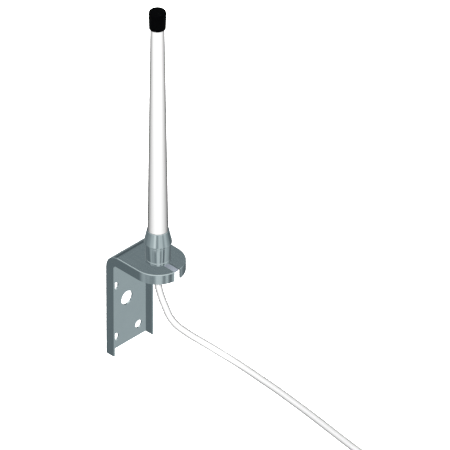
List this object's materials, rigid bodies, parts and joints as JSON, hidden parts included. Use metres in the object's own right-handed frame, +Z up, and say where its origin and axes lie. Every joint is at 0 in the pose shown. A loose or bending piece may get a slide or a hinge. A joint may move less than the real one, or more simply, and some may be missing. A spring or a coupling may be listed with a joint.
{
  "type": "omnidirectional antenna",
  "caption": "Slender white omnidirectional whip antenna on an L-shaped flanged steel wall bracket, with a metal base, black cap, white coaxial cable and screw-on plug.",
  "frame": {"origin": "middle of the bracket's four screw holes, on its back face, which lies on the wall", "axes": "+Y into the wall, +Z up along the antenna, +X to the right seen from the front"},
  "size_m": [0.0656, 0.4253, 0.3401],
  "materials": {
    "bracket_steel": "satin pressed stainless steel",
    "base_steel": "turned and polished stainless steel",
    "fastener_steel": "bright zinc-plated steel",
    "radome_white": "smooth white fibreglass",
    "black_rubber": "moulded black rubber",
    "resin": "amber potting resin",
    "cable_jacket": "white extruded cable jacket",
    "inner_plastic": "natural PTFE",
    "brass": "drawn brass",
    "copper_wire": "bare copper wire",
    "foam": "closed-cell foam",
    "tie_nylon": "black nylon",
    "heat_shrink": "black heat-shrink sleeve",
    "plug_metal": "nickel-plated brass",
    "plug_gold": "gold plating",
    "silicone": "red silicone"
  },
  "bodies": {
    "antenna": {"bracket": "bracket_steel", "base_washer": "base_steel", "ferrule_base": "base_steel", "ferrule_collar": "base_steel", "mount_stud": "fastener_steel", "flat_washer": "fastener_steel", "lock_washer": "fastener_steel", "hex_nut": "fastener_steel", "strain_relief": "black_rubber", "radome_tube": "radome_white", "end_cap": "black_rubber", "radome_seal": "black_rubber", "base_potting": "resin", "feed_cable": "cable_jacket", "feed_dielectric": "inner_plastic", "sleeve_balun": "brass", "radiator": "copper_wire", "coil_former": "inner_plastic", "sleeve_spacer": "foam", "lower_spacer": "foam", "upper_spacer": "foam", "cable_run": "cable_jacket", "cable_hank": "cable_jacket", "cable_tail": "cable_jacket", "hank_tie_1": "tie_nylon", "hank_tie_2": "tie_nylon", "plug_boot": "heat_shrink", "crimp_ferrule": "plug_metal", "plug_body": "plug_metal", "plug_insulator": "inner_plastic", "plug_pin": "plug_gold", "plug_gasket": "silicone", "nut_retainer": "brass"},
    "plug_nut": {"coupling_nut": "plug_metal"}
  },
  "joints": [
    {"name": "coupling_nut_turn", "type": "hinge", "parent": "antenna", "child": "plug_nut", "pos_m": [-0.02, -0.3818, 0.0063], "axis": [0, 1, 0], "continuous": true}
  ]
}
